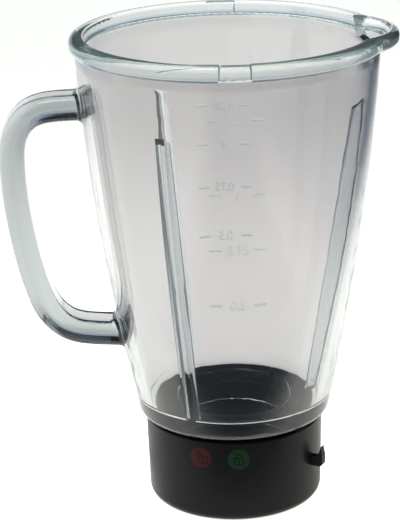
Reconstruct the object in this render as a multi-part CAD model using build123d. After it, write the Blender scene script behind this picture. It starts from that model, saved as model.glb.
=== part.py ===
from build123d import *
import os

os.makedirs("parts", exist_ok=True)

# Frame: millimetres, z up from the foot of the collar, spout along +X, handle along -X.

# How far a joined solid runs into its neighbour, and how far a cut runs past the face it opens
JOIN_SINK = 1.0
CUT_PAST = 1.0

# Heights
JAR_HEIGHT = 226.8
COLLAR_HEIGHT = 41.2
BEAD_DEPTH = 7.4
LEDGE_DEPTH = 5.6
FLOOR_THICK = 7.4

# Outer radii of the glass
BEAD_R = 72.3
BODY_TOP_R = 69.9
HEEL_R = 45.4
HEEL_ROUND = 4.8
# Share of the height between heel and bead, against the share of the widening
BODY_CURVE = [(0.20, 0.285), (0.40, 0.537), (0.60, 0.737), (0.80, 0.888)]

# Walls of the glass
WALL_TOP = 4.5
WALL_FOOT = 4.4
BAND_WALL = 6.7
LEDGE_STEP = 0.5
LEDGE_ROUND = 0.3
SWELL_HEIGHT = 9.0
FLOOR_ROUND = 4.0
BEAD_TOP_ROUND = 3.2
BEAD_FOOT_ROUND = 3.2
BAND_TOP_ROUND = 0.9

# Lid pockets in the rim
POCKET_WIDTH = 14.0
POCKET_DEPTH = 2.0
POCKET_ROUND = 1.4

# Spout
SPOUT_REACH = 6.2
SPOUT_HALF_WIDTH = 32.5
SPOUT_CENTRE = 50.0
SPOUT_BLEND = 10.0
SPOUT_LIP = 2.0
SPOUT_DROP = 13.0
SPOUT_LEAN = 13.0
TROUGH_WALL = 3.9
TROUGH_DROP = 17.0
TROUGH_LEAN = 15.4

# Handle
GRIP_THICK = 11.8
GRIP_WIDTH = 21.0
GRIP_ROUND = 4.6
GRIP_FLARE = 3.0
GRIP_R = 100.3
HANDLE_TOP_DROP = 32.2
HANDLE_FOOT_Z = 83.2
# Share of the way out from the lower root to the grip, against the share of the drop
HANDLE_CURVE = [
    (0.590, 0.006),
    (0.824, 0.036),
    (0.953, 0.106),
    (0.998, 0.227),
    (0.981, 0.396),
    (0.913, 0.598),
    (0.811, 0.777),
    (0.692, 0.890),
    (0.518, 0.959),
    (0.272, 0.986),
]

# Inner ribs
RIB_COUNT = 3
RIB_TOP_DROP = 34.2
RIB_FOOT_DEPTH = 6.0
RIB_TOP_DEPTH = 5.8
RIB_FOOT_WIDTH = 5.0
RIB_TOP_WIDTH = 4.6
RIB_FOOT_CREST = 4.4
RIB_TOP_CREST = 4.0
RIB_CREST_ROUND = 1.8
RIB_END_HEIGHT = 3.6
RIB_ROOT = 3.2
RIB_SINK = 2.5

# Neck and bayonet lugs
NECK_HOLE_R = 26.8
NECK_WALL = 4.4
LUG_COUNT = 3
LUG_DEPTH = 2.8
LUG_HEIGHT = 3.4
LUG_ARC = 30.0
LUG_ANGLE = 30.0
LOCK_TURN = 60.0
LUG_ROUND = 1.2
NECK_LIP = 1.0
NECK_ROUND = 0.8
HOLE_ROUND = 1.6
BAYONET_CLEARANCE = 0.4
NOTCH_ARC_CLEARANCE = 3.0

# Gasket
GASKET_THICK = 1.4
GASKET_WIDTH = 8.0
GASKET_ROUND = 0.3
GASKET_CLEARANCE = 0.8

# Collar
COLLAR_TOP_R = 42.4
COLLAR_DRAFT = 1.0
COLLAR_ROUND = 4.0
COLLAR_TOP_ROUND = 0.9
COLLAR_WALL = 3.2
FOOT_WIDTH = 7.0
FOOT_HEIGHT = 8.0
FOOT_INNER_ROUND = 0.8
FLANGE_ROUND = 1.5
FLANGE_THICK = 3.4
KEY_COUNT = 3
KEY_ANGLE = 60.0
KEY_WIDTH = 5.0
KEY_DEPTH = 2.4
KEY_HEIGHT = 14.0
KEY_ROUND = 0.9

# Thumb lug on the outside of the collar
THUMB_ANGLE = -31.0
THUMB_REACH = 6.6
THUMB_THICK = 3.4
THUMB_Z = 19.6
THUMB_ROOT_HEIGHT = 4.8
THUMB_TIP_HEIGHT = 10.2
THUMB_TIP_BACK = 0.9
THUMB_NOSE_HEIGHT = 5.6
THUMB_KNEE = 3.4
THUMB_KNEE_RISE = 0.4
THUMB_ROUND = 2.0

# Derived sizes
BEAD_Z = JAR_HEIGHT - BEAD_DEPTH
LEDGE_Z = JAR_HEIGHT - LEDGE_DEPTH
HANDLE_TOP_Z = JAR_HEIGHT - HANDLE_TOP_DROP
RIB_TOP_Z = JAR_HEIGHT - RIB_TOP_DROP
HEEL_Z = COLLAR_HEIGHT + GASKET_THICK
FLOOR_Z = HEEL_Z + FLOOR_THICK
FLANGE_Z = COLLAR_HEIGHT - FLANGE_THICK
NECK_Z = FLANGE_Z - LUG_HEIGHT - NECK_LIP
BAND_R = BEAD_R - BAND_WALL
SEAT_R = BAND_R - LEDGE_STEP
SWELL_Z = LEDGE_Z - SWELL_HEIGHT
CAVITY_TOP_R = BODY_TOP_R - WALL_TOP
CAVITY_FOOT_R = HEEL_R - WALL_FOOT
NECK_R = NECK_HOLE_R + NECK_WALL
COLLAR_FOOT_R = COLLAR_TOP_R - COLLAR_DRAFT
SKIRT_R = COLLAR_FOOT_R - COLLAR_WALL
SOCKET_R = COLLAR_FOOT_R - FOOT_WIDTH


def wall_radius(z, foot_r, foot_z, top_r, top_z):
    """Radius of a tapered wall at a height, straight between the points of its curve."""
    points = curve_points(foot_r, foot_z, top_r, top_z)
    for (r0, z0), (r1, z1) in zip(points[:-1], points[1:]):
        if z <= z1:
            break
    return r0 + (r1 - r0) * (z - z0) / (z1 - z0)


def curve_points(foot_r, foot_z, top_r, top_z):
    """Points of the tapered wall from its foot to its top."""
    inner = [(foot_r + (top_r - foot_r) * w, foot_z + (top_z - foot_z) * s) for s, w in BODY_CURVE]
    return [(foot_r, foot_z)] + inner + [(top_r, top_z)]


def round_corners(face, corners):
    """Round the named corners of a flat profile, each with its own radius."""
    for (x, y), radius in corners:
        corner = face.vertices().sort_by_distance((x, y, 0))[0]
        face = fillet(corner, radius)
    return face


def glass_outside():
    """The jug's outer form with no cavity: heel, tapered body and neck."""
    wall = Spline(*curve_points(HEEL_R, HEEL_Z, BODY_TOP_R, BEAD_Z))
    rest = Polyline(
        (BODY_TOP_R, BEAD_Z),
        (0, BEAD_Z),
        (0, NECK_Z),
        (NECK_R, NECK_Z),
        (NECK_R, HEEL_Z),
        (HEEL_R, HEEL_Z),
    )
    face = make_face(wall + rest)
    face = round_corners(face, [((HEEL_R, HEEL_Z), HEEL_ROUND), ((NECK_R, NECK_Z), NECK_ROUND)])
    return revolve(Plane.XZ * face, Axis.Z)


def rim_plan():
    """Plan of the bead: a circle drawn out into the spout's nose."""
    reach = BEAD_R + SPOUT_REACH - SPOUT_CENTRE
    nose = Pos(SPOUT_CENTRE, 0) * Ellipse(reach, SPOUT_HALF_WIDTH)
    plan = Circle(BEAD_R) + nose
    corners = plan.vertices().filter_by_position(Axis.X, BEAD_R * 0.7, BEAD_R)
    corners = [v for v in corners if abs(v.Y) > SPOUT_HALF_WIDTH * 0.5]
    return fillet(corners, SPOUT_BLEND)


def rim_bead():
    """Thick rounded rim that runs round the mouth and out along the spout."""
    bead = extrude(Pos(0, 0, BEAD_Z) * rim_plan(), BEAD_DEPTH)
    top = bead.faces().sort_by(Axis.Z)[-1].edges()
    bead = fillet(top, BEAD_TOP_ROUND)
    foot = bead.faces().sort_by(Axis.Z)[0].edges()
    return fillet(foot, BEAD_FOOT_ROUND)


def spout_cone(inset, top_z, drop, lean):
    """Leaning elliptical cone along the spout, its top plan taken in by an inset."""
    reach = BEAD_R + SPOUT_REACH - SPOUT_CENTRE - inset
    width = SPOUT_HALF_WIDTH - inset
    top = Pos(SPOUT_CENTRE, 0, top_z) * Ellipse(reach, width)
    foot = Pos(SPOUT_CENTRE, 0, top_z - drop) * Ellipse(reach - lean, width)
    return loft([foot, top])


def handle_path():
    """Centre line of the handle, from the upper root round to the lower one."""
    drop = HANDLE_TOP_Z - HANDLE_FOOT_Z
    top_r = wall_radius(HANDLE_TOP_Z, HEEL_R, HEEL_Z, BODY_TOP_R, BEAD_Z)
    foot_r = wall_radius(HANDLE_FOOT_Z, HEEL_R, HEEL_Z, BODY_TOP_R, BEAD_Z)
    points = [(-top_r + WALL_TOP, 0, HANDLE_TOP_Z)]
    for out, fall in HANDLE_CURVE:
        points.append((-foot_r - (GRIP_R - foot_r) * out, 0, HANDLE_TOP_Z - drop * fall))
    points.append((-foot_r + WALL_FOOT, 0, HANDLE_FOOT_Z))
    return Spline(*points)


def handle():
    """One rounded bar swept along the handle's centre line."""
    path = handle_path()
    section = RectangleRounded(GRIP_WIDTH, GRIP_THICK, GRIP_ROUND)
    start = Plane(origin=path @ 0, x_dir=(0, 1, 0), z_dir=path % 0)
    return sweep(start * section, path=path)


def body_with_handle():
    """Outer form and handle, with the roots flared into the wall."""
    body = glass_outside()
    bar = handle()
    joined = body + bar
    return fillet(new_edges(body, bar, combined=joined), GRIP_FLARE)


def cavity():
    """Space inside the jug: lid band, tapered hollow, floor and the hole for the blade unit."""
    wall = Spline(*curve_points(CAVITY_FOOT_R, FLOOR_Z, CAVITY_TOP_R, SWELL_Z))
    reach = SWELL_HEIGHT / 2
    swell = Bezier(wall @ 1, wall @ 1 + wall % 1 * reach, (SEAT_R, LEDGE_Z - reach), (SEAT_R, LEDGE_Z))
    rest = Polyline(
        (SEAT_R, LEDGE_Z),
        (BAND_R, LEDGE_Z),
        (BAND_R, JAR_HEIGHT + CUT_PAST),
        (0, JAR_HEIGHT + CUT_PAST),
        (0, NECK_Z - CUT_PAST),
        (NECK_HOLE_R, NECK_Z - CUT_PAST),
        (NECK_HOLE_R, FLOOR_Z),
        (CAVITY_FOOT_R, FLOOR_Z),
    )
    face = make_face(wall + swell + rest)
    face = round_corners(
        face,
        [
            ((CAVITY_FOOT_R, FLOOR_Z), FLOOR_ROUND),
            ((NECK_HOLE_R, FLOOR_Z), HOLE_ROUND),
            ((SEAT_R, LEDGE_Z), LEDGE_ROUND),
        ],
    )
    return revolve(Plane.XZ * face, Axis.Z)


def lid_pockets():
    """Two pockets that widen the lid band, front and back."""
    depth = BAND_R + POCKET_DEPTH
    height = LEDGE_DEPTH + CUT_PAST
    half = Pos(0, depth / 2, LEDGE_Z + height / 2) * Box(POCKET_WIDTH, depth, height)
    sides = half.edges().filter_by(Axis.Z).group_by(Axis.Y)[-1]
    half = fillet(sides, POCKET_ROUND)
    return half + Rot(0, 0, 180) * half


def rib_section(inner_r, depth, crest, width, z):
    """Flat section of a rib: a narrow crest that widens to its root inside the wall."""
    outer_r = inner_r + RIB_ROOT
    points = [
        (inner_r - depth, -crest / 2),
        (outer_r, -width / 2),
        (outer_r, width / 2),
        (inner_r - depth, crest / 2),
    ]
    return Pos(0, 0, z) * make_face(Polyline(*points, close=True))


def rib():
    """One tapered ridge on the inner wall, on the spout's side, with a sloping upper end."""
    top_r = wall_radius(RIB_TOP_Z, CAVITY_FOOT_R, FLOOR_Z, CAVITY_TOP_R, SWELL_Z)
    low = rib_section(CAVITY_FOOT_R, RIB_FOOT_DEPTH, RIB_FOOT_CREST, RIB_FOOT_WIDTH, FLOOR_Z - RIB_SINK)
    high = rib_section(top_r, RIB_TOP_DEPTH, RIB_TOP_CREST, RIB_TOP_WIDTH, RIB_TOP_Z)
    ridge = loft([low, high])
    crest = [e for e in ridge.edges() if e.length > RIB_TOP_Z / 2]
    crest = ShapeList(crest).sort_by(Axis.X)[:2]
    ridge = fillet(crest, min(RIB_CREST_ROUND, RIB_TOP_CREST * 0.47, RIB_FOOT_CREST * 0.47))
    end = Plane(origin=(top_r, 0, RIB_TOP_Z), z_dir=(-RIB_END_HEIGHT, 0, RIB_TOP_DEPTH))
    return split(ridge, bisect_by=end, keep=Keep.BOTTOM)


def neck_lug():
    """One bayonet lug on the neck, under the collar's flange."""
    face = Pos(NECK_R - JOIN_SINK, FLANGE_Z - LUG_HEIGHT) * Rectangle(
        LUG_DEPTH + JOIN_SINK, LUG_HEIGHT, align=(Align.MIN, Align.MIN)
    )
    face = round_corners(face, [((NECK_R + LUG_DEPTH, FLANGE_Z - LUG_HEIGHT), LUG_ROUND)])
    return Rot(0, 0, -LUG_ARC / 2) * revolve(Plane.XZ * face, Axis.Z, LUG_ARC)


def spouted_form():
    """Body, handle, bead and spout, hollowed out, with the mouth's inner edge rounded."""
    form = body_with_handle() + rim_bead()
    form = form + spout_cone(SPOUT_LIP, BEAD_Z + BEAD_FOOT_ROUND, SPOUT_DROP, SPOUT_LEAN)
    form = form - cavity() - spout_cone(TROUGH_WALL, JAR_HEIGHT, TROUGH_DROP, TROUGH_LEAN)
    mouth = form.faces().sort_by(Axis.Z)[-1].inner_wires()[0]
    return fillet(mouth.edges(), BAND_TOP_ROUND)


def glass_jug():
    """The whole glass pressing."""
    form = spouted_form() - lid_pockets()
    for n in range(RIB_COUNT):
        form = form + Rot(0, 0, 360 * n / RIB_COUNT) * rib()
    for n in range(LUG_COUNT):
        form = form + Rot(0, 0, LUG_ANGLE + 360 * n / LUG_COUNT) * neck_lug()
    return form


def base_gasket():
    """Flat ring squeezed between the heel and the collar."""
    inner = NECK_R + GASKET_CLEARANCE
    ring = Circle(inner + GASKET_WIDTH) - Circle(inner)
    ring = extrude(Pos(0, 0, COLLAR_HEIGHT) * ring, GASKET_THICK)
    return fillet(ring.edges(), GASKET_ROUND)


def collar_shell():
    """Turned form of the collar: skirt, top flange and the thick foot that sits on the motor unit."""
    flange_r = NECK_R + BAYONET_CLEARANCE
    outline = Polyline(
        (SOCKET_R, 0),
        (COLLAR_FOOT_R, 0),
        (COLLAR_TOP_R, COLLAR_HEIGHT),
        (flange_r, COLLAR_HEIGHT),
        (flange_r, FLANGE_Z),
        (SKIRT_R, FLANGE_Z),
        (SKIRT_R, FOOT_HEIGHT),
        (SOCKET_R, FOOT_HEIGHT),
        close=True,
    )
    face = make_face(outline)
    face = round_corners(
        face,
        [
            ((COLLAR_FOOT_R, 0), COLLAR_ROUND),
            ((COLLAR_TOP_R, COLLAR_HEIGHT), COLLAR_TOP_ROUND),
            ((SKIRT_R, FLANGE_Z), FLANGE_ROUND),
            ((SOCKET_R, FOOT_HEIGHT), FOOT_INNER_ROUND),
        ],
    )
    return revolve(Plane.XZ * face, Axis.Z)


def flange_notch():
    """Gap in the flange that lets one bayonet lug through."""
    arc = LUG_ARC + 2 * NOTCH_ARC_CLEARANCE
    face = Pos(NECK_R - CUT_PAST, FLANGE_Z - CUT_PAST) * Rectangle(
        LUG_DEPTH + CUT_PAST + BAYONET_CLEARANCE, FLANGE_THICK + 2 * CUT_PAST, align=(Align.MIN, Align.MIN)
    )
    return Rot(0, 0, -arc / 2) * revolve(Plane.XZ * face, Axis.Z, arc)


def drive_key():
    """One upright key inside the skirt that turns the jar with the motor unit."""
    low = FLANGE_Z - KEY_HEIGHT
    key = Pos(SKIRT_R + JOIN_SINK, 0, low + KEY_HEIGHT / 2) * Box(
        KEY_DEPTH + JOIN_SINK, KEY_WIDTH, KEY_HEIGHT, align=(Align.MAX, Align.CENTER, Align.CENTER)
    )
    edges = key.edges().filter_by(Axis.Z).group_by(Axis.X)[0]
    return fillet(edges, KEY_ROUND)


def thumb_lug():
    """Upturned lug on the outside of the collar."""
    root = COLLAR_FOOT_R - JOIN_SINK
    tip = COLLAR_FOOT_R + THUMB_REACH
    low = THUMB_Z
    upper = Spline(
        (root, low + THUMB_ROOT_HEIGHT),
        (COLLAR_FOOT_R + THUMB_KNEE, low + THUMB_ROOT_HEIGHT + THUMB_KNEE_RISE),
        (tip - THUMB_TIP_BACK, low + THUMB_TIP_HEIGHT),
        tangents=[(1, 0), (0.25, 1)],
    )
    rest = Polyline(
        (tip - THUMB_TIP_BACK, low + THUMB_TIP_HEIGHT),
        (tip, low + THUMB_NOSE_HEIGHT),
        (tip, low),
        (root, low),
        (root, low + THUMB_ROOT_HEIGHT),
    )
    face = make_face(upper + rest)
    face = round_corners(face, [((tip, low), THUMB_ROUND)])
    lug = extrude(Plane.XZ * face, THUMB_THICK / 2, both=True)
    return Rot(0, 0, THUMB_ANGLE) * lug


def base_collar():
    """The whole collar moulding."""
    form = collar_shell()
    for n in range(LUG_COUNT):
        form = form - Rot(0, 0, LUG_ANGLE + LOCK_TURN + 360 * n / LUG_COUNT) * flange_notch()
    for n in range(KEY_COUNT):
        form = form + Rot(0, 0, KEY_ANGLE + 360 * n / KEY_COUNT) * drive_key()
    return form + thumb_lug()


export_step(glass_jug(), "parts/glass_jug.step")
export_step(base_gasket(), "parts/base_gasket.step")
export_step(base_collar(), "parts/base_collar.step")
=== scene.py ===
"""Looks of a glass blender jug in its black base collar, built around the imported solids.

The solids are kept as they are and dressed. Added here is what is only surface on the real one:
the two raised filling scales on the glass and the two printed lock marks on the collar.
"""

import logging
import math
from dataclasses import dataclass
from enum import Enum
from typing import Any

import bmesh
import bpy
from mathutils import Matrix, Vector


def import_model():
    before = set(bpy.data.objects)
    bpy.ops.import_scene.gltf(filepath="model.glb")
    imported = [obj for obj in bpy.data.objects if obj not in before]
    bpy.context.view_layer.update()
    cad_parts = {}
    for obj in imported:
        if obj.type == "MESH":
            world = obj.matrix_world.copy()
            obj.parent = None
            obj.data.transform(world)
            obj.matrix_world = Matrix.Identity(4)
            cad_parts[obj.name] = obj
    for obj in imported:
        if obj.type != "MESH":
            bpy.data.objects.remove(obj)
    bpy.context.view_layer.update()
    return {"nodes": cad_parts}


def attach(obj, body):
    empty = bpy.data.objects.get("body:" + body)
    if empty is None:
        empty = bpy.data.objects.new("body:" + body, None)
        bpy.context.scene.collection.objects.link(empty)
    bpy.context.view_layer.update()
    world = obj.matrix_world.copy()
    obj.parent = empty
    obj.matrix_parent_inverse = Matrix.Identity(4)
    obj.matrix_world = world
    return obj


log = logging.getLogger("blender_jug")

# Start and end of a run.
Span = tuple[float, float]

RISE: Span = (0.0, 1.0)
FALL: Span = (1.0, 0.0)
MM = 0.001
MERGE_DISTANCE = 1e-7
# Light crosses many faces of glass before it reaches the floor behind the jar.
LIGHT_BOUNCES = 40
GLOSS_BOUNCES = 8
PICTURE_HEIGHT = 520
SENSOR_WIDTH = 36.0


class LockState(Enum):
    """The two lock marks printed on the collar."""

    OPEN = "open"
    CLOSED = "closed"


def linear(hex_colour: str) -> tuple[float, float, float, float]:
    """Turn an sRGB hex colour into linear values.

    Args:
        hex_colour: six digits after a hash sign.

    Returns:
        Red, green, blue and an alpha of one.
    """
    parts = [int(hex_colour[i : i + 2], 16) / 255 for i in (1, 3, 5)]
    flat = [p / 12.92 if p <= 0.04045 else ((p + 0.055) / 1.055) ** 2.4 for p in parts]
    return (flat[0], flat[1], flat[2], 1.0)


def add_node(
    tree: Any, kind: str, values: dict | None = None, links: dict | None = None, **settings: Any
) -> Any:
    """Add one node to a tree.

    Args:
        tree: node tree of a material, a world or a modifier.
        kind: node type.
        values: input socket, by name or number, against its fixed value.
        links: input socket, by name or number, against the output socket that feeds it.
        settings: attributes of the node itself.

    Returns:
        The new node.
    """
    node = tree.nodes.new(kind)
    for name, value in settings.items():
        setattr(node, name, value)
    for key, value in (values or {}).items():
        node.inputs[key].default_value = value
    for key, source in (links or {}).items():
        tree.links.new(source, node.inputs[key])
    return node


def new_material(name: str) -> tuple[Any, Any]:
    """Start a material with an empty tree.

    Args:
        name: name of the real material.

    Returns:
        The material and its node tree.
    """
    material = bpy.data.materials.new(name)
    material.use_nodes = True
    material.node_tree.nodes.clear()
    return material, material.node_tree


def run_values(span: Span, ends: Span) -> dict[str, float]:
    """Name the start and the end of a run, and its results there, as a node's inputs."""
    return {"From Min": span[0], "From Max": span[1], "To Min": ends[0], "To Max": ends[1]}


def mask(
    tree: Any, fades: dict[str, tuple[Any, Span, Span]], steps: tuple[tuple[str, str, str, str], ...]
) -> Any:
    """Fade several values and join the results step by step.

    Args:
        tree: node tree of a material or a world.
        fades: name of each fade against its source, the span that it runs over and its two ends.
        steps: name of each step, its operation and the names of the two values that it joins.

    Returns:
        Output socket of the last step.
    """
    results = {}
    for name, (source, span, ends) in fades.items():
        node = add_node(
            tree,
            "ShaderNodeMapRange",
            run_values(span, ends),
            {"Value": source},
            interpolation_type="SMOOTHSTEP",
        )
        results[name] = node.outputs["Result"]
    for name, operation, one, two in steps:
        node = add_node(
            tree, "ShaderNodeMath", links={0: results[one], 1: results[two]}, operation=operation
        )
        results[name] = node.outputs["Value"]
    return results[steps[-1][0]]


def metres(span_mm: Span) -> Span:
    """Turn a span in millimetres into metres."""
    return (span_mm[0] * MM, span_mm[1] * MM)


def wave_per_metre(size_mm: float) -> float:
    """Texture scale that gives a pattern of this size in millimetres."""
    return 1.0 / (size_mm * MM)


def skin(shape: Any, rings: list[list[tuple[float, float, float]]], closed: bool = False) -> None:
    """Skin a row of rings into one closed shell.

    Args:
        shape: bmesh to add to.
        rings: rings of points, all of one length.
        closed: True where the last ring joins the first, False where both ends are capped.
    """
    rows = [[shape.verts.new(point) for point in ring] for ring in rings]
    pairs = list(zip(rows, rows[1:]))
    if closed:
        pairs.append((rows[-1], rows[0]))
    else:
        shape.faces.new(rows[0])
        shape.faces.new(rows[-1])
    for one, two in pairs:
        for i in range(len(one)):
            j = (i + 1) % len(one)
            shape.faces.new((one[i], one[j], two[j], two[i]))


def flat_mesh(shape: Any, name: str) -> Any:
    """Turn a bmesh into a mesh whose faces point outwards.

    Args:
        shape: bmesh, freed here.
        name: name of the new mesh.

    Returns:
        The mesh.
    """
    bmesh.ops.remove_doubles(shape, verts=shape.verts, dist=MERGE_DISTANCE)
    bmesh.ops.recalc_face_normals(shape, faces=shape.faces)
    mesh = bpy.data.meshes.new(name)
    shape.to_mesh(mesh)
    shape.free()
    return mesh


def new_piece(mesh: Any, name: str) -> Any:
    """Put a mesh in the scene as an object at the origin.

    Args:
        mesh: mesh with its place in its points.
        name: name of the object.

    Returns:
        The object.
    """
    piece = bpy.data.objects.new(name, mesh)
    bpy.context.scene.collection.objects.link(piece)
    return piece


def run_nodes(mesh: Any, tree: Any, values: dict[str, Any]) -> Any:
    """Run a geometry tree once.

    Args:
        mesh: mesh that goes into the tree.
        tree: geometry tree.
        values: named inputs of the tree against their values.

    Returns:
        Plain mesh that comes out of the tree.
    """
    carrier = new_piece(mesh, "nodes_in")
    modifier = carrier.modifiers.new(tree.name, "NODES")
    modifier.node_group = tree
    sockets = [s for s in tree.interface.items_tree if s.item_type == "SOCKET" and s.in_out == "INPUT"]
    places = {s.name: s.identifier for s in sockets}
    for name, value in values.items():
        modifier[places[name]] = value
    graph = bpy.context.evaluated_depsgraph_get()
    result = bpy.data.meshes.new_from_object(carrier.evaluated_get(graph), depsgraph=graph)
    carrier.modifiers.remove(modifier)
    bpy.data.objects.remove(carrier)
    return result


def new_tree(name: str, inputs: dict[str, str]) -> tuple[Any, Any]:
    """Start a geometry tree with named inputs and one output.

    Args:
        name: name of the tree.
        inputs: name of each input against its kind of socket.

    Returns:
        The tree and the outputs of its input node.
    """
    tree = bpy.data.node_groups.new(name, "GeometryNodeTree")
    for title, kind in inputs.items():
        tree.interface.new_socket(title, in_out="INPUT", socket_type="NodeSocket" + kind)
    tree.interface.new_socket("Result", in_out="OUTPUT", socket_type="NodeSocketGeometry")
    return tree, add_node(tree, "NodeGroupInput").outputs


def end_tree(tree: Any, geometry: Any, material: Any) -> None:
    """End a geometry tree in real faces of one material.

    Args:
        tree: geometry tree.
        geometry: output socket with the finished shape.
        material: output socket with the material.
    """
    real = add_node(tree, "GeometryNodeRealizeInstances", links={"Geometry": geometry})
    dressed = add_node(
        tree,
        "GeometryNodeSetMaterial",
        links={"Geometry": real.outputs["Geometry"], "Material": material},
    )
    add_node(tree, "NodeGroupOutput", links={"Result": dressed.outputs["Geometry"]})


def repeat_tree() -> Any:
    """Build the tree that sets one shape on every point.

    Returns:
        Geometry tree with the inputs Points, Shape and Material.
    """
    inputs = {"Points": "Geometry", "Shape": "Object", "Material": "Material"}
    tree, entry = new_tree("repeat_on_points", inputs)
    shape = add_node(tree, "GeometryNodeObjectInfo", links={"Object": entry["Shape"]})
    copies = add_node(
        tree,
        "GeometryNodeInstanceOnPoints",
        links={"Points": entry["Points"], "Instance": shape.outputs["Geometry"]},
    )
    end_tree(tree, copies.outputs["Instances"], entry["Material"])
    return tree


def cast_inwards(tree: Any, wall: Any, angle: Any, height: Any, reach: Any) -> tuple[Any, Any]:
    """Cast a level ray from outside towards the jar's axis.

    Args:
        tree: geometry tree.
        wall: output socket with the wall's faces.
        angle: output socket with the angle round the axis.
        height: output socket with the ray's height.
        reach: output socket with the distance from the axis at which the ray starts.

    Returns:
        Ray node, and the output socket with the way straight out of the wall.
    """
    along = add_node(tree, "ShaderNodeMath", links={0: angle}, operation="COSINE").outputs["Value"]
    across = add_node(tree, "ShaderNodeMath", links={0: angle}, operation="SINE").outputs["Value"]
    out = add_node(tree, "ShaderNodeCombineXYZ", links={"X": along, "Y": across}).outputs["Vector"]
    lift = add_node(tree, "ShaderNodeCombineXYZ", links={"Z": height}).outputs["Vector"]
    far = add_node(tree, "ShaderNodeVectorMath", links={0: out, "Scale": reach}, operation="SCALE")
    start = add_node(
        tree, "ShaderNodeVectorMath", links={0: far.outputs["Vector"], 1: lift}, operation="ADD"
    )
    back = add_node(tree, "ShaderNodeVectorMath", {"Scale": -1.0}, {0: out}, operation="SCALE")
    ray = add_node(
        tree,
        "GeometryNodeRaycast",
        links={
            "Target Geometry": wall,
            "Source Position": start.outputs["Vector"],
            "Ray Direction": back.outputs["Vector"],
            "Ray Length": reach,
        },
    )
    return ray, out


def wrap_tree() -> Any:
    """Build the tree that lays a flat drawing on a round wall.

    The drawing has x along the wall, y out of the wall and z up. Lengths along the wall stay true.
    That swap of axes turns faces inside out, so they are flipped back.

    Returns:
        Geometry tree with the inputs Drawing, Wall, Middle, Reach and Material.
    """
    inputs = {
        "Drawing": "Geometry",
        "Wall": "Object",
        "Middle": "Float",
        "Reach": "Float",
        "Material": "Material",
    }
    tree, entry = new_tree("wrap_on_wall", inputs)
    wall = add_node(tree, "GeometryNodeObjectInfo", links={"Object": entry["Wall"]}).outputs["Geometry"]
    place = add_node(tree, "GeometryNodeInputPosition").outputs["Position"]
    drawn = add_node(tree, "ShaderNodeSeparateXYZ", links={"Vector": place}).outputs
    first, _ = cast_inwards(tree, wall, entry["Middle"], drawn["Z"], entry["Reach"])
    radius = add_node(
        tree,
        "ShaderNodeMath",
        links={0: entry["Reach"], 1: first.outputs["Hit Distance"]},
        operation="SUBTRACT",
    )
    turn = add_node(
        tree, "ShaderNodeMath", links={0: drawn["X"], 1: radius.outputs["Value"]}, operation="DIVIDE"
    )
    angle = add_node(
        tree, "ShaderNodeMath", links={0: entry["Middle"], 1: turn.outputs["Value"]}, operation="ADD"
    )
    ray, out = cast_inwards(tree, wall, angle.outputs["Value"], drawn["Z"], entry["Reach"])
    proud = add_node(
        tree, "ShaderNodeVectorMath", links={0: out, "Scale": drawn["Y"]}, operation="SCALE"
    )
    spot = add_node(
        tree,
        "ShaderNodeVectorMath",
        links={0: ray.outputs["Hit Position"], 1: proud.outputs["Vector"]},
        operation="ADD",
    )
    laid = add_node(
        tree,
        "GeometryNodeSetPosition",
        links={"Geometry": entry["Drawing"], "Position": spot.outputs["Vector"]},
    )
    turned = add_node(tree, "GeometryNodeFlipFaces", links={"Mesh": laid.outputs["Geometry"]})
    end_tree(tree, turned.outputs["Mesh"], entry["Material"])
    return tree


def finish_piece(mesh: Any, name: str) -> Any:
    """Put a finished mesh on the jar's one body.

    Args:
        mesh: mesh in its place.
        name: name of the piece.

    Returns:
        The piece.
    """
    piece = new_piece(mesh, name)
    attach(piece, "root")
    log.info("made %s, %d faces", name, len(mesh.polygons))
    return piece


def dress(node: Any, material: Any) -> None:
    """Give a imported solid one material.

    Args:
        node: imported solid.
        material: material that it gets.
    """
    node.data.materials.clear()
    node.data.materials.append(material)
    log.info("dressed %s with %s", node.name, material.name)


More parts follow.
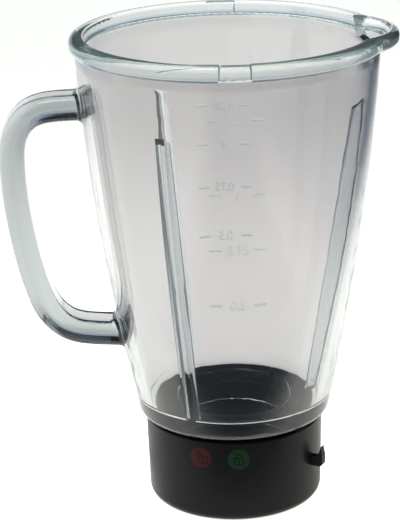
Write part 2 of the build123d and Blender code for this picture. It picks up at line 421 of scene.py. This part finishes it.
@dataclass(frozen=True)
class PressedGlass:
    """Clear soda-lime glass, pressed in a mould and fire polished: slightly wavy, green at its edges."""

    name: str = "pressed_soda_lime_glass"
    body: str = "#e5e1e2"
    ior: float = 1.5
    tint: str = "#d3dadb"
    density: float = 85.0
    wave_mm: float = 34.0
    wave_height_mm: float = 0.10
    wave_roughness: float = 0.4
    chill_mm: float = 5.0
    chill_height_mm: float = 0.006
    chill_span: Span = (0.45, 0.75)
    gloss: Span = (0.0, 0.02)
    detail: float = 1.0
    edge_glow: str = "#d3efea"
    edge_strength: float = 0.09
    tip_strength: float = 0.03
    bead_mm: Span = (218.5, 220.5)
    tip_mm: Span = (70.0, 79.0)
    rib_body: str = "#f5f9fb"
    rib_mm: Span = (0.8, 1.6)
    rib_foot_mm: Span = (52.0, 53.0)
    hollow_r_mm: Span = (41.0, 65.4)
    hollow_z_mm: Span = (50.0, 212.2)
    # Share of the hollow's height against the share of its growth in radius.
    hollow_curve: tuple[tuple[float, float], ...] = (
        (0.2, 0.285),
        (0.4, 0.537),
        (0.6, 0.737),
        (0.8, 0.888),
    )

    def build(self) -> Any:
        """Make the material.

        Returns:
            Glass with a long mould wave and a fine chill mark in its surface, and a body that absorbs
            light.
        """
        material, tree = new_material(self.name)
        place = add_node(tree, "ShaderNodeTexCoord").outputs["Object"]
        parts = add_node(tree, "ShaderNodeSeparateXYZ", links={"Vector": place}).outputs
        wave = add_node(
            tree,
            "ShaderNodeTexNoise",
            {
                "Scale": wave_per_metre(self.wave_mm),
                "Detail": self.detail,
                "Roughness": self.wave_roughness,
            },
            {"Vector": place},
        )
        chill = add_node(
            tree,
            "ShaderNodeTexNoise",
            {"Scale": wave_per_metre(self.chill_mm), "Detail": self.detail},
            {"Vector": place},
        )
        waved = add_node(
            tree,
            "ShaderNodeBump",
            {"Strength": 1.0, "Distance": self.wave_height_mm * MM},
            {"Height": wave.outputs["Fac"]},
        )
        chilled = add_node(
            tree,
            "ShaderNodeBump",
            {"Strength": 1.0, "Distance": self.chill_height_mm * MM},
            {"Height": chill.outputs["Fac"], "Normal": waved.outputs["Normal"]},
        )
        gloss = add_node(
            tree,
            "ShaderNodeMapRange",
            run_values(self.chill_span, self.gloss),
            {"Value": chill.outputs["Fac"]},
        )
        shader = add_node(
            tree,
            "ShaderNodeBsdfPrincipled",
            {"IOR": self.ior, "Transmission Weight": 1.0, "Emission Color": linear(self.edge_glow)},
            {
                "Base Color": self.body_colour(tree, place, parts["Z"]),
                "Roughness": gloss.outputs["Result"],
                "Normal": chilled.outputs["Normal"],
                "Emission Strength": self.bead_glow(tree, parts),
            },
        )
        mass = add_node(
            tree,
            "ShaderNodeVolumeAbsorption",
            {"Color": linear(self.tint), "Density": self.density},
        )
        add_node(
            tree,
            "ShaderNodeOutputMaterial",
            links={"Surface": shader.outputs["BSDF"], "Volume": mass.outputs["Volume"]},
        )
        return material

    def bead_glow(self, tree: Any, parts: Any) -> Any:
        """Give the bead a faint glow, less at the spout's tip.

        A real bead pipes light round and sends it out green. The renderer loses that light.

        Args:
            tree: node tree of the material.
            parts: output sockets of the split object coordinates.

        Returns:
            Output socket with the strength of the glow.
        """
        fades = {
            "bead": (parts["Z"], metres(self.bead_mm), RISE),
            "strength": (parts["X"], metres(self.tip_mm), (self.edge_strength, self.tip_strength)),
        }
        return mask(tree, fades, (("glow", "MULTIPLY", "bead", "strength"),))

    def body_colour(self, tree: Any, place: Any, height: Any) -> Any:
        """Keep the tint to the wall: a rib stands inside the hollow, and its faces stay clear.

        Args:
            tree: node tree of the material.
            place: output socket with the object coordinates.
            height: output socket with the height.

        Returns:
            Output socket with the colour.
        """
        share = add_node(
            tree,
            "ShaderNodeMapRange",
            run_values(metres(self.hollow_z_mm), RISE),
            {"Value": height},
        )
        curve = add_node(tree, "ShaderNodeFloatCurve", links={"Value": share.outputs["Result"]})
        for point in self.hollow_curve:
            curve.mapping.curves[0].points.new(*point)
        curve.mapping.update()
        wall = add_node(
            tree,
            "ShaderNodeMapRange",
            run_values(RISE, metres(self.hollow_r_mm)),
            {"Value": curve.outputs["Value"]},
        )
        flat = add_node(tree, "ShaderNodeVectorMath", {1: (1, 1, 0)}, {0: place}, operation="MULTIPLY")
        reach = add_node(
            tree, "ShaderNodeVectorMath", links={0: flat.outputs["Vector"]}, operation="LENGTH"
        )
        depth = add_node(
            tree,
            "ShaderNodeMath",
            links={0: wall.outputs["Result"], 1: reach.outputs["Value"]},
            operation="SUBTRACT",
        )
        fades = {
            "inside": (depth.outputs["Value"], metres(self.rib_mm), RISE),
            "above": (height, metres(self.rib_foot_mm), RISE),
        }
        # Inputs 6 and 7 are the two colours, and output 2 is the colour between them.
        colour = add_node(
            tree,
            "ShaderNodeMix",
            {6: linear(self.body), 7: linear(self.rib_body)},
            {0: mask(tree, fades, (("rib", "MULTIPLY", "inside", "above"),))},
            data_type="RGBA",
        )
        return colour.outputs[2]


@dataclass(frozen=True)
class MouldedPlastic:
    """Plastic moulded against a spark-eroded tool: a fine even grain that breaks up the gloss."""

    name: str = "moulded_abs_black"
    colour: str = "#121214"
    worn: str = "#19191b"
    roughness: float = 0.36
    rough_spread: float = 0.08
    ior: float = 1.52
    specular: float = 0.1
    grain_mm: float = 0.9
    grain_height_mm: float = 0.006
    grain_detail: float = 2.0
    cloud_mm: float = 26.0
    cloud_detail: float = 3.0
    cloud_span: Span = (0.3, 0.7)
    tone_span: Span = (0.35, 0.72)

    def build(self) -> Any:
        """Make the material.

        Returns:
            Satin plastic with a cloudy gloss and a fine grain. The grain is drawn coarser than real to
            show.
        """
        material, tree = new_material(self.name)
        place = add_node(tree, "ShaderNodeTexCoord").outputs["Object"]
        cloud = add_node(
            tree,
            "ShaderNodeTexNoise",
            {"Scale": wave_per_metre(self.cloud_mm), "Detail": self.cloud_detail},
            {"Vector": place},
        )
        grain = add_node(
            tree,
            "ShaderNodeTexNoise",
            {"Scale": wave_per_metre(self.grain_mm), "Detail": self.grain_detail},
            {"Vector": place},
        )
        tone = add_node(tree, "ShaderNodeValToRGB", links={"Fac": cloud.outputs["Fac"]})
        for stop, at, colour in zip(tone.color_ramp.elements, self.tone_span, (self.colour, self.worn)):
            stop.position = at
            stop.color = linear(colour)
        ends = (self.roughness - self.rough_spread, self.roughness + self.rough_spread)
        gloss = add_node(
            tree,
            "ShaderNodeMapRange",
            run_values(self.cloud_span, ends),
            {"Value": cloud.outputs["Fac"]},
        )
        bump = add_node(
            tree,
            "ShaderNodeBump",
            {"Strength": 1.0, "Distance": self.grain_height_mm * MM},
            {"Height": grain.outputs["Fac"]},
        )
        shader = add_node(
            tree,
            "ShaderNodeBsdfPrincipled",
            {"IOR": self.ior, "Specular IOR Level": self.specular},
            {
                "Base Color": tone.outputs["Color"],
                "Roughness": gloss.outputs["Result"],
                "Normal": bump.outputs["Normal"],
            },
        )
        add_node(tree, "ShaderNodeOutputMaterial", links={"Surface": shader.outputs["BSDF"]})
        return material


@dataclass(frozen=True)
class GasketRubber(MouldedPlastic):
    """Black elastomer cut from sheet: dull, with a faint grey bloom."""

    name: str = "gasket_rubber"
    colour: str = "#101011"
    worn: str = "#1d1d1e"
    roughness: float = 0.66
    rough_spread: float = 0.06
    grain_mm: float = 0.6
    grain_height_mm: float = 0.0008
    specular: float = 0.0
    cloud_mm: float = 9.0


@dataclass(frozen=True)
class PadPrintInk:
    """Ink printed with a soft pad on satin plastic: thin, slightly uneven, duller than its ground."""

    name: str
    colour: str
    thin: str
    roughness: float = 0.5
    rough_spread: float = 0.06
    specular: float = 0.1
    fleck_mm: float = 1.3
    fleck_detail: float = 3.0
    fleck_span: Span = (0.3, 0.7)
    tone_span: Span = (0.35, 0.6)
    film_mm: float = 0.01

    def build(self) -> Any:
        """Make the material.

        Returns:
            Ink that is a little thin in places, so that its colour and gloss vary.
        """
        material, tree = new_material(self.name)
        place = add_node(tree, "ShaderNodeTexCoord").outputs["Object"]
        fleck = add_node(
            tree,
            "ShaderNodeTexNoise",
            {"Scale": wave_per_metre(self.fleck_mm), "Detail": self.fleck_detail},
            {"Vector": place},
        )
        tone = add_node(tree, "ShaderNodeValToRGB", links={"Fac": fleck.outputs["Fac"]})
        for stop, at, colour in zip(tone.color_ramp.elements, self.tone_span, (self.thin, self.colour)):
            stop.position = at
            stop.color = linear(colour)
        ends = (self.roughness - self.rough_spread, self.roughness + self.rough_spread)
        gloss = add_node(
            tree,
            "ShaderNodeMapRange",
            run_values(self.fleck_span, ends),
            {"Value": fleck.outputs["Fac"]},
            interpolation_type="SMOOTHSTEP",
        )
        bump = add_node(
            tree,
            "ShaderNodeBump",
            {"Strength": 1.0, "Distance": self.film_mm * MM},
            {"Height": fleck.outputs["Fac"]},
        )
        shader = add_node(
            tree,
            "ShaderNodeBsdfPrincipled",
            {"Specular IOR Level": self.specular},
            {
                "Base Color": tone.outputs["Color"],
                "Roughness": gloss.outputs["Result"],
                "Normal": bump.outputs["Normal"],
            },
        )
        add_node(tree, "ShaderNodeOutputMaterial", links={"Surface": shader.outputs["BSDF"]})
        return material


@dataclass(frozen=True)
class Level:
    """One filling level: its height and the plain number beside it."""

    height_mm: float
    figure: str


@dataclass(frozen=True)
class FillScale:
    """One set of filling marks, raised on the outside of the glass by hollows in the mould."""

    name: str
    middle: float
    levels: tuple[Level, ...]
    dash_mm: float = 5.8
    dash_thick_mm: float = 1.2
    dash_out_mm: float = 9.8
    relief_mm: float = 0.1
    sunk_mm: float = 0.03
    dash_foot: float = 0.8
    dome_steps: int = 8
    end_turns: tuple[float, ...] = (0.2, 0.6, 1.1, math.pi / 2)
    figure_mm: float = 4.6
    figure_bevel: float = 0.045
    figure_offset: float = -0.02
    figure_steps: int = 4
    sharp_angle: float = 50.0
    reach: float = 0.12

    def build(self, wall: Any, glass: Any, repeat: Any, wrap: Any) -> Any:
        """Make the set and lay it on the wall.

        Args:
            wall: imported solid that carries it.
            glass: material of the glass.
            repeat: tree that sets one shape on every point.
            wrap: tree that lays a drawing on a wall.

        Returns:
            The finished piece.
        """
        drawing = bmesh.new()
        drawing.from_mesh(self.dashes(glass, repeat))
        for level in self.levels:
            drawing.from_mesh(self.figure(level))
        middle = math.radians(self.middle)
        values = {"Wall": wall, "Middle": middle, "Reach": self.reach, "Material": glass}
        mesh = run_nodes(flat_mesh(drawing, self.name), wrap, values)
        mesh.shade_smooth()
        mesh.set_sharp_from_angle(angle=math.radians(self.sharp_angle))
        return finish_piece(mesh, self.name)

    def dashes(self, glass: Any, repeat: Any) -> Any:
        """Set a dash on each side of every level.

        Args:
            glass: material of the glass.
            repeat: tree that sets one shape on every point.

        Returns:
            Flat mesh of all dashes.
        """
        points = bpy.data.meshes.new("dash_points")
        spots = [(side * self.dash_out_mm, 0, lv.height_mm) for lv in self.levels for side in (-1, 1)]
        points.from_pydata([[c * MM for c in spot] for spot in spots], [], [])
        dash = new_piece(self.dash(), "dash")
        mesh = run_nodes(points, repeat, {"Shape": dash, "Material": glass})
        bpy.data.objects.remove(dash)
        return mesh

    def dash(self) -> Any:
        """Shape one dash: a low bar with a domed top and round ends.

        Returns:
            Flat mesh of one dash round its own middle.
        """
        half, wide = self.dash_mm / 2, self.dash_thick_mm / 2
        foot = wide * self.dash_foot
        across = [1 - 2 * i / self.dome_steps for i in range(self.dome_steps + 1)]
        round_end = [(half - wide * (1 - math.cos(a)), math.sin(a)) for a in self.end_turns]
        stations = [(-x, share) for x, share in round_end]
        stations += [(half * i / 3, 1.0) for i in (-2, -1, 0, 1, 2)]
        stations += list(reversed(round_end))
        rings = []
        for x, share in stations:
            ring = [(x, -self.sunk_mm, share * foot)]
            for a in across:
                crown = math.cos(a * math.pi / 2) ** 2
                ring.append((x, share * self.relief_mm * crown, share * wide * a))
            ring.append((x, -self.sunk_mm, -share * foot))
            rings.append([tuple(c * MM for c in point) for point in ring])
        shape = bmesh.new()
        skin(shape, rings)
        return flat_mesh(shape, "dash")

    def figure(self, level: Level) -> Any:
        """Draw the number of one level at its height.

        Args:
            level: filling level.

        Returns:
            Flat mesh of the number.
        """
        text = bpy.data.curves.new("figure", "FONT")
        text.body = level.figure
        text.align_x = "CENTER"
        text.size, text.bevel_depth, text.offset = 1.0, self.figure_bevel, self.figure_offset
        text.bevel_resolution, text.resolution_u = 0, self.figure_steps
        carrier = new_piece(text, "figure")
        graph = bpy.context.evaluated_depsgraph_get()
        mesh = bpy.data.meshes.new_from_object(carrier.evaluated_get(graph), depsgraph=graph)
        bpy.data.objects.remove(carrier)
        low, high = (pick(v.co.y for v in mesh.vertices) for pick in (min, max))
        front = max(v.co.z for v in mesh.vertices)
        scale = self.figure_mm / (high - low)
        for v in mesh.vertices:
            x, y, z = v.co
            out = z / front * (self.relief_mm if z > 0 else self.sunk_mm)
            up = level.height_mm + (y - (low + high) / 2) * scale
            v.co = (x * scale * MM, out * MM, up * MM)
        mesh.materials.clear()
        return mesh


@dataclass(frozen=True)
class LockMark:
    """A round print on the collar with a padlock drawn in it."""

    state: LockState
    middle: float
    field_ink: PadPrintInk
    line_ink: PadPrintInk
    height_mm: float = 32.6
    field_mm: float = 10.4
    field_proud_mm: float = 0.05
    line_proud_mm: float = 0.09
    sunk_mm: float = 0.1
    line_mm: float = 0.7
    body_mm: tuple[float, float] = (4.3, 3.4)
    body_drop_mm: float = 1.1
    shackle_r_mm: float = 1.2
    shackle_leg_mm: float = 0.9
    keyhole_mm: float = 1.2
    open_shift_mm: float = 0.9
    open_leg: float = 0.4
    reach: float = 0.09
    rounds: int = 48
    disc_shares: tuple[float, ...] = (0.2, 0.4, 0.6, 0.8, 1.0)
    arch_steps: int = 10
    step_mm: float = 0.6
    mitre_limit: float = 0.5

    def build(self, wall: Any, wrap: Any) -> list[Any]:
        """Make the field and the padlock's lines and lay them on the collar.

        Args:
            wall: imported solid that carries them.
            wrap: tree that lays a drawing on a wall.

        Returns:
            The two finished pieces.
        """
        parts = (("field", self.field(), self.field_ink), ("lines", self.lines(), self.line_ink))
        pieces = []
        for title, drawing, ink in parts:
            name = f"lock_mark_{self.state.value}_{title}"
            middle = math.radians(self.middle)
            values = {"Wall": wall, "Middle": middle, "Reach": self.reach, "Material": ink.build()}
            mesh = run_nodes(flat_mesh(drawing, name), wrap, values)
            pieces.append(finish_piece(mesh, name))
        return pieces

    def disc(self, shape: Any, centre: tuple[float, float], size_mm: float, proud_mm: float) -> None:
        """Add a thin round film in rings, so that it can bend with the wall.

        Args:
            shape: bmesh to add to.
            centre: middle of the disc along the wall and up, from the mark's middle.
            size_mm: diameter.
            proud_mm: height of its face over the wall.
        """
        walk = [(share, -self.sunk_mm) for share in self.disc_shares]
        walk += [(share, proud_mm) for share in reversed(self.disc_shares)]
        x, z = centre[0], self.height_mm + centre[1]
        turns = [2 * math.pi * i / self.rounds for i in range(self.rounds)]
        rings = []
        for share, out in walk:
            r = share * size_mm / 2
            ring = [(x + r * math.cos(t), out, z + r * math.sin(t)) for t in turns]
            rings.append([tuple(c * MM for c in point) for point in ring])
        skin(shape, rings)

    def field(self) -> Any:
        """Draw the round field.

        Returns:
            Flat bmesh of the field.
        """
        shape = bmesh.new()
        self.disc(shape, (0, 0), self.field_mm, self.field_proud_mm)
        return shape

    def lines(self) -> Any:
        """Draw the padlock: body, keyhole and shackle, swung aside on the open mark.

        Returns:
            Flat bmesh of the lines.
        """
        swung = self.state is LockState.OPEN
        aside = self.open_shift_mm if swung else 0.0
        half, tall = self.body_mm[0] / 2, self.body_mm[1] / 2
        foot, head = -self.body_drop_mm - tall, -self.body_drop_mm + tall
        left, right = aside - half, aside + half
        shape = bmesh.new()
        self.stroke(shape, [(left, foot), (right, foot), (right, head), (left, head)], True)
        self.disc(shape, (aside, -self.body_drop_mm), self.keyhole_mm, self.line_proud_mm)
        spring = head + self.shackle_leg_mm
        bow = left if swung else 0.0
        turns = [math.pi * i / self.arch_steps for i in range(self.arch_steps + 1)]
        r = self.shackle_r_mm
        arch = [(bow + r * math.cos(t), spring + r * math.sin(t)) for t in turns]
        leg = self.shackle_leg_mm * (self.open_leg if swung else 1.0)
        legs = (arch[0][0], head), (arch[-1][0], spring - leg)
        self.stroke(shape, [legs[0], *arch, legs[1]], False)
        return shape

    def stroke(self, shape: Any, corners: list[tuple[float, float]], closed: bool) -> None:
        """Add a line of even width, cut short enough to bend with the wall.

        Args:
            shape: bmesh to add to.
            corners: corners of the line along the wall and up, from the mark's middle.
            closed: True where the line comes back to its start.
        """
        ends = corners[1:] + corners[:1] if closed else corners[1:]
        path = []
        for one, two in zip(corners, ends):
            count = max(1, round(math.dist(one, two) / self.step_mm))
            path += [tuple(a + (b - a) * i / count for a, b in zip(one, two)) for i in range(count)]
        if not closed:
            path.append(corners[-1])
        rings = []
        for i, point in enumerate(path):
            before = path[i - 1] if closed or i else point
            after = path[(i + 1) % len(path)] if closed or i + 1 < len(path) else point
            one, two = Vector(point) - Vector(before), Vector(after) - Vector(point)
            one, two = (way.normalized() if way.length else None for way in (one, two))
            one, two = one or two, two or one
            mitre = (one + two).normalized()
            reach = self.line_mm / 2 / max(self.mitre_limit, mitre.dot(one))
            side = Vector((-mitre.y, mitre.x)) * reach
            low, high = -self.sunk_mm, self.line_proud_mm
            section = ((1, low), (1, high), (-1, high), (-1, low))
            x, z = point[0], self.height_mm + point[1]
            ring = [(x + k * side.x, out, z + k * side.y) for k, out in section]
            rings.append([tuple(c * MM for c in spot) for spot in ring])
        skin(shape, rings, closed)


@dataclass
class GlassJug:
    """The glass pressing, with the two filling scales raised on its wall."""

    finish: PressedGlass = PressedGlass()
    mark_finish: PressedGlass = PressedGlass(
        "pressed_soda_lime_glass_marks", body="#f8f9f8", density=20.0
    )
    scales: tuple[FillScale, ...] = (
        FillScale(
            "fill_scale_front",
            -90.0,
            (Level(202.7, "1.5"), Level(168.7, "1"), Level(142.4, "0.75"), Level(114.9, "0.5")),
        ),
        FillScale(
            "fill_scale_back",
            90.0,
            (Level(175.5, "1.25"), Level(156.0, "1"), Level(134.6, "0.75"), Level(110.0, "0.5")),
            dash_out_mm=11.0,
        ),
    )

    def build(self, nodes: dict[str, Any], wrap: Any) -> None:
        """Dress the glass and raise its scales.

        Args:
            nodes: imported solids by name.
            wrap: tree that lays a drawing on a wall.
        """
        glass = self.finish.build()
        dress(nodes["glass_jug"], glass)
        mark_glass = self.mark_finish.build()
        repeat = repeat_tree()
        for scale in self.scales:
            scale.build(nodes["glass_jug"], mark_glass, repeat, wrap)


@dataclass
class BaseCollar:
    """The black collar with its gasket and its two printed lock marks."""

    finish: MouldedPlastic = MouldedPlastic()
    gasket: GasketRubber = GasketRubber()
    marks: tuple[LockMark, ...] = (
        LockMark(
            LockState.OPEN,
            -115.0,
            PadPrintInk("pad_print_red", "#4c1a1e", "#44181c"),
            PadPrintInk("pad_print_red_dark", "#2a1214", "#241012"),
        ),
        LockMark(
            LockState.CLOSED,
            -90.2,
            PadPrintInk("pad_print_green", "#1c3c26", "#193522"),
            PadPrintInk("pad_print_green_dark", "#122318", "#101f15"),
        ),
    )

    def build(self, nodes: dict[str, Any], wrap: Any) -> None:
        """Dress the collar and the gasket and print the lock marks.

        Args:
            nodes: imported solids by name.
            wrap: tree that lays a drawing on a wall.
        """
        dress(nodes["base_collar"], self.finish.build())
        dress(nodes["base_gasket"], self.gasket.build())
        for mark in self.marks:
            mark.build(nodes["base_collar"], wrap)


@dataclass(frozen=True)
class SoftBox:
    """One soft light, turned to the jar. Sizes are in metres and the power is in watts."""

    name: str
    place: tuple[float, float, float]
    size: tuple[float, float]
    power: float


@dataclass
class Studio:
    """Pale floor, room, soft lights and the camera at the photograph's place.

    Lengths are in metres and angles in degrees. A span is the start and the end of a fade.
    """

    # Camera, fitted to the photograph.
    eye: tuple[float, float, float] = (-0.04007, -0.88247, 0.42102)
    heading: float = 1.6422
    pitch: float = 19.001
    roll: float = -1.4051
    focal_px: float = 1978.4
    clip: Span = (0.02, 30.0)
    # Floor: its colours, and the places where its glow fades to paint light and shade on it.
    floor_half: float = 4.0
    floor_white: str = "#d8d8cf"
    floor_shade: str = "#ccd1da"
    floor_roughness: float = 0.9
    glow: Span = (2.05, 1.18)
    glow_y: Span = (0.2, 0.75)
    strip_x: Span = (0.14, 0.36)
    strip_spread: float = 0.13
    foot_shade_r: Span = (0.036, 0.0415)
    front_y: Span = (-0.10, -0.055)
    left_x: Span = (-0.06, -0.24)
    right_x: Span = (0.09, 0.3)
    near_y: Span = (-0.32, -0.75)
    near_share: float = 0.6
    # Room: how bright it is on each side, and the parts of the way looked along where that fades.
    room_tone: str = "#dce8f8"
    room_dark: float = 0.03
    room_left: float = 0.4
    room_left_way: Span = (-0.2, -0.8)
    room_top: float = 0.3
    room_top_way: Span = (0.45, 0.85)
    room_behind: float = 0.9
    room_low_way: Span = (0.08, 0.24)
    room_behind_way: Span = (0.0, 0.4)
    room_side_way: Span = (0.25, 0.5)
    # Soft boxes, and the point that they are turned to.
    aim: tuple[float, float, float] = (0.0, 0.0, 0.1)
    boxes: tuple[SoftBox, ...] = (
        SoftBox("left_box", (-1.1, -0.1, 0.7), (0.9, 1.1), 2.0),
        SoftBox("right_box", (1.2, 0.2, 0.6), (0.5, 1.1), 2.4),
        SoftBox("top_box", (-0.25, -0.2, 1.3), (0.4, 0.4), 2.2),
    )

    def build(self) -> None:
        """Set up the floor, the surroundings, the lights and the camera."""
        self.add_floor()
        self.add_surroundings()
        self.add_lights()
        self.add_camera()

    def add_floor(self) -> None:
        """Lay a large plain floor under the foot of the collar."""
        mesh = bpy.data.meshes.new("studio_floor")
        half = self.floor_half
        corners = [(-half, -half, 0), (half, -half, 0), (half, half, 0), (-half, half, 0)]
        mesh.from_pydata(corners, [], [(0, 1, 2, 3)])
        floor = new_piece(mesh, "studio_floor")
        material, tree = new_material("white_paper")
        shader = add_node(
            tree,
            "ShaderNodeBsdfPrincipled",
            {
                "Base Color": linear(self.floor_shade),
                "Roughness": self.floor_roughness,
                "Emission Color": linear(self.floor_white),
            },
            {"Emission Strength": self.floor_painted_light(tree)},
        )
        add_node(tree, "ShaderNodeOutputMaterial", links={"Surface": shader.outputs["BSDF"]})
        mesh.materials.append(material)

    def floor_painted_light(self, tree: Any) -> Any:
        """Paint light and shade into the floor's glow: bright behind the jar, painted shadow just in
        front and far right.

        Args:
            tree: node tree of the floor's material.

        Returns:
            Output socket with the strength of the glow.
        """
        place = add_node(tree, "ShaderNodeTexCoord").outputs["Object"]
        parts = add_node(tree, "ShaderNodeSeparateXYZ", links={"Vector": place}).outputs
        reach = add_node(tree, "ShaderNodeVectorMath", links={0: place}, operation="LENGTH")
        slant = add_node(
            tree,
            "ShaderNodeMath",
            {1: -self.strip_spread},
            {0: parts["Y"], 2: parts["X"]},
            operation="MULTIPLY_ADD",
        )
        # Painted light and shade: the glow is brightest just behind the jar and dimmer far off. It gives
        # way to a painted shadow just in front of the jar and far to the right. Round the collar's foot
        # it is cut out as painted shade, which keeps the collar's inside dark.
        fades = {
            "depth": (parts["Y"], self.glow_y, self.glow),
            "strip": (slant.outputs["Value"], self.strip_x, FALL),
            "foot": (reach.outputs["Value"], self.foot_shade_r, RISE),
            "front": (parts["Y"], self.front_y, RISE),
            "left": (parts["X"], self.left_x, RISE),
            "right": (parts["X"], self.right_x, RISE),
            "near": (parts["Y"], self.near_y, (0.0, self.near_share)),
        }
        steps = (
            ("flank", "MAXIMUM", "left", "right"),
            ("around", "MAXIMUM", "flank", "front"),
            ("edge", "MULTIPLY", "strip", "around"),
            ("lit", "MAXIMUM", "edge", "near"),
            ("foot_shaded", "MULTIPLY", "lit", "foot"),
            ("glow", "MULTIPLY", "foot_shaded", "depth"),
        )
        return mask(tree, fades, steps)

    def add_surroundings(self) -> None:
        """Paint the room: bright low behind the jar, pale on the left and above, dark elsewhere."""
        world = bpy.data.worlds.new("studio")
        bpy.context.scene.world = world
        world.use_nodes = True
        tree = world.node_tree
        tree.nodes.clear()
        way = add_node(tree, "ShaderNodeTexCoord").outputs["Generated"]
        parts = add_node(tree, "ShaderNodeSeparateXYZ", links={"Vector": way}).outputs
        fades = {
            "left": (parts["X"], self.room_left_way, (0.0, self.room_left)),
            "top": (parts["Z"], self.room_top_way, (self.room_dark, self.room_top)),
            "low": (parts["Z"], self.room_low_way, (self.room_behind, 0.0)),
            "behind": (parts["Y"], self.room_behind_way, RISE),
            "side": (parts["X"], self.room_side_way, FALL),
        }
        steps = (
            ("line", "MULTIPLY", "low", "behind"),
            ("glow", "MULTIPLY", "line", "side"),
            ("room", "ADD", "left", "top"),
            ("shade", "ADD", "room", "glow"),
        )
        back = add_node(
            tree,
            "ShaderNodeBackground",
            {"Color": linear(self.room_tone)},
            {"Strength": mask(tree, fades, steps)},
        )
        add_node(tree, "ShaderNodeOutputWorld", links={"Surface": back.outputs["Background"]})

    def add_lights(self) -> None:
        """Hang a soft box on each side and one above the camera."""
        for box in self.boxes:
            light = bpy.data.lights.new(box.name, "AREA")
            light.shape = "RECTANGLE"
            light.size, light.size_y = box.size
            light.energy = box.power
            lamp = bpy.data.objects.new(box.name, light)
            lamp.location = box.place
            way = Vector(self.aim) - Vector(box.place)
            lamp.rotation_euler = way.to_track_quat("-Z", "Y").to_euler()
            bpy.context.scene.collection.objects.link(lamp)

    def add_camera(self) -> None:
        """Put the camera at the place and turn fitted to the photograph."""
        head, down, lean = (math.radians(v) for v in (self.heading, self.pitch, self.roll))
        flat = math.cos(down)
        forward = Vector((math.sin(head) * flat, math.cos(head) * flat, -math.sin(down)))
        right = Vector((math.cos(head), -math.sin(head), 0))
        up = right.cross(forward)
        turned_right = math.cos(lean) * right + math.sin(lean) * up
        turned_up = -math.sin(lean) * right + math.cos(lean) * up
        data = bpy.data.cameras.new("photo_camera")
        data.sensor_width = SENSOR_WIDTH
        data.lens = self.focal_px * SENSOR_WIDTH / PICTURE_HEIGHT
        data.clip_start, data.clip_end = self.clip
        camera = bpy.data.objects.new("photo_camera", data)
        turn = Matrix((turned_right, turned_up, -forward)).transposed().to_4x4()
        camera.matrix_world = Matrix.Translation(self.eye) @ turn
        scene = bpy.context.scene
        scene.collection.objects.link(camera)
        scene.camera = camera


def main() -> None:
    """Dress the solids, add the surface pieces and set up the studio."""
    logging.basicConfig(level=logging.INFO, format="%(message)s")
    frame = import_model()
    nodes = frame["nodes"]
    wrap = wrap_tree()
    GlassJug().build(nodes, wrap)
    BaseCollar().build(nodes, wrap)
    Studio().build()
    scene = bpy.context.scene
    scene.view_settings.view_transform = "Standard"
    scene.cycles.max_bounces = LIGHT_BOUNCES
    scene.cycles.transmission_bounces = LIGHT_BOUNCES
    scene.cycles.glossy_bounces = GLOSS_BOUNCES
    scene.cycles.caustics_refractive = False
    scene.cycles.caustics_reflective = False


if __name__ == "__main__":
    main()
